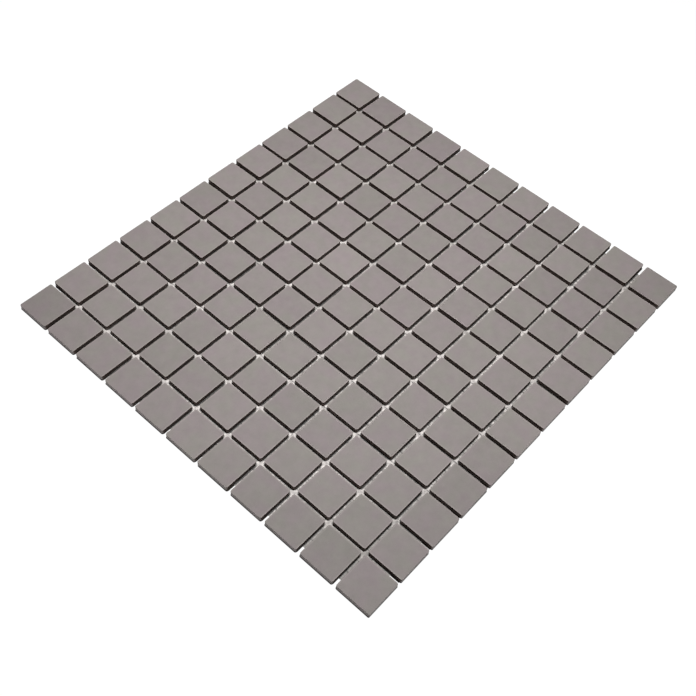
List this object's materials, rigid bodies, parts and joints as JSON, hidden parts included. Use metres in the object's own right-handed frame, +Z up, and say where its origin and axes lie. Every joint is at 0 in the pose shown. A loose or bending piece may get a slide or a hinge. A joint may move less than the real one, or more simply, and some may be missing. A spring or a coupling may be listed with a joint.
{
  "type": "mosaic tile sheet",
  "caption": "Flat sheet of small square unglazed ceramic tiles with open joints, held on a thin adhesive film and a yarn net.",
  "frame": {"origin": "under the middle of the sheet, on the plane that it rests on", "axes": "+X along the rows of twelve tiles, the sheet's longer side; +Y along the rows of eleven tiles; +Z up, out of the tile faces"},
  "size_m": [0.3274, 0.3, 0.004],
  "materials": {
    "tile_body": "unglazed, matt, warm mid grey all through",
    "dried_adhesive": "dried white adhesive film, slightly uneven",
    "net_yarn": "coated glass yarn, off white"
  },
  "bodies": {
    "root": {"tile_row_01": "tile_body", "tile_row_02": "tile_body", "tile_row_03": "tile_body", "tile_row_04": "tile_body", "tile_row_05": "tile_body", "tile_row_06": "tile_body", "tile_row_07": "tile_body", "tile_row_08": "tile_body", "tile_row_09": "tile_body", "tile_row_10": "tile_body", "tile_row_11": "tile_body", "tile_row_12": "tile_body", "adhesive_film": "dried_adhesive", "net_long_yarns": "net_yarn", "net_cross_yarns": "net_yarn"}
  },
  "joints": []
}
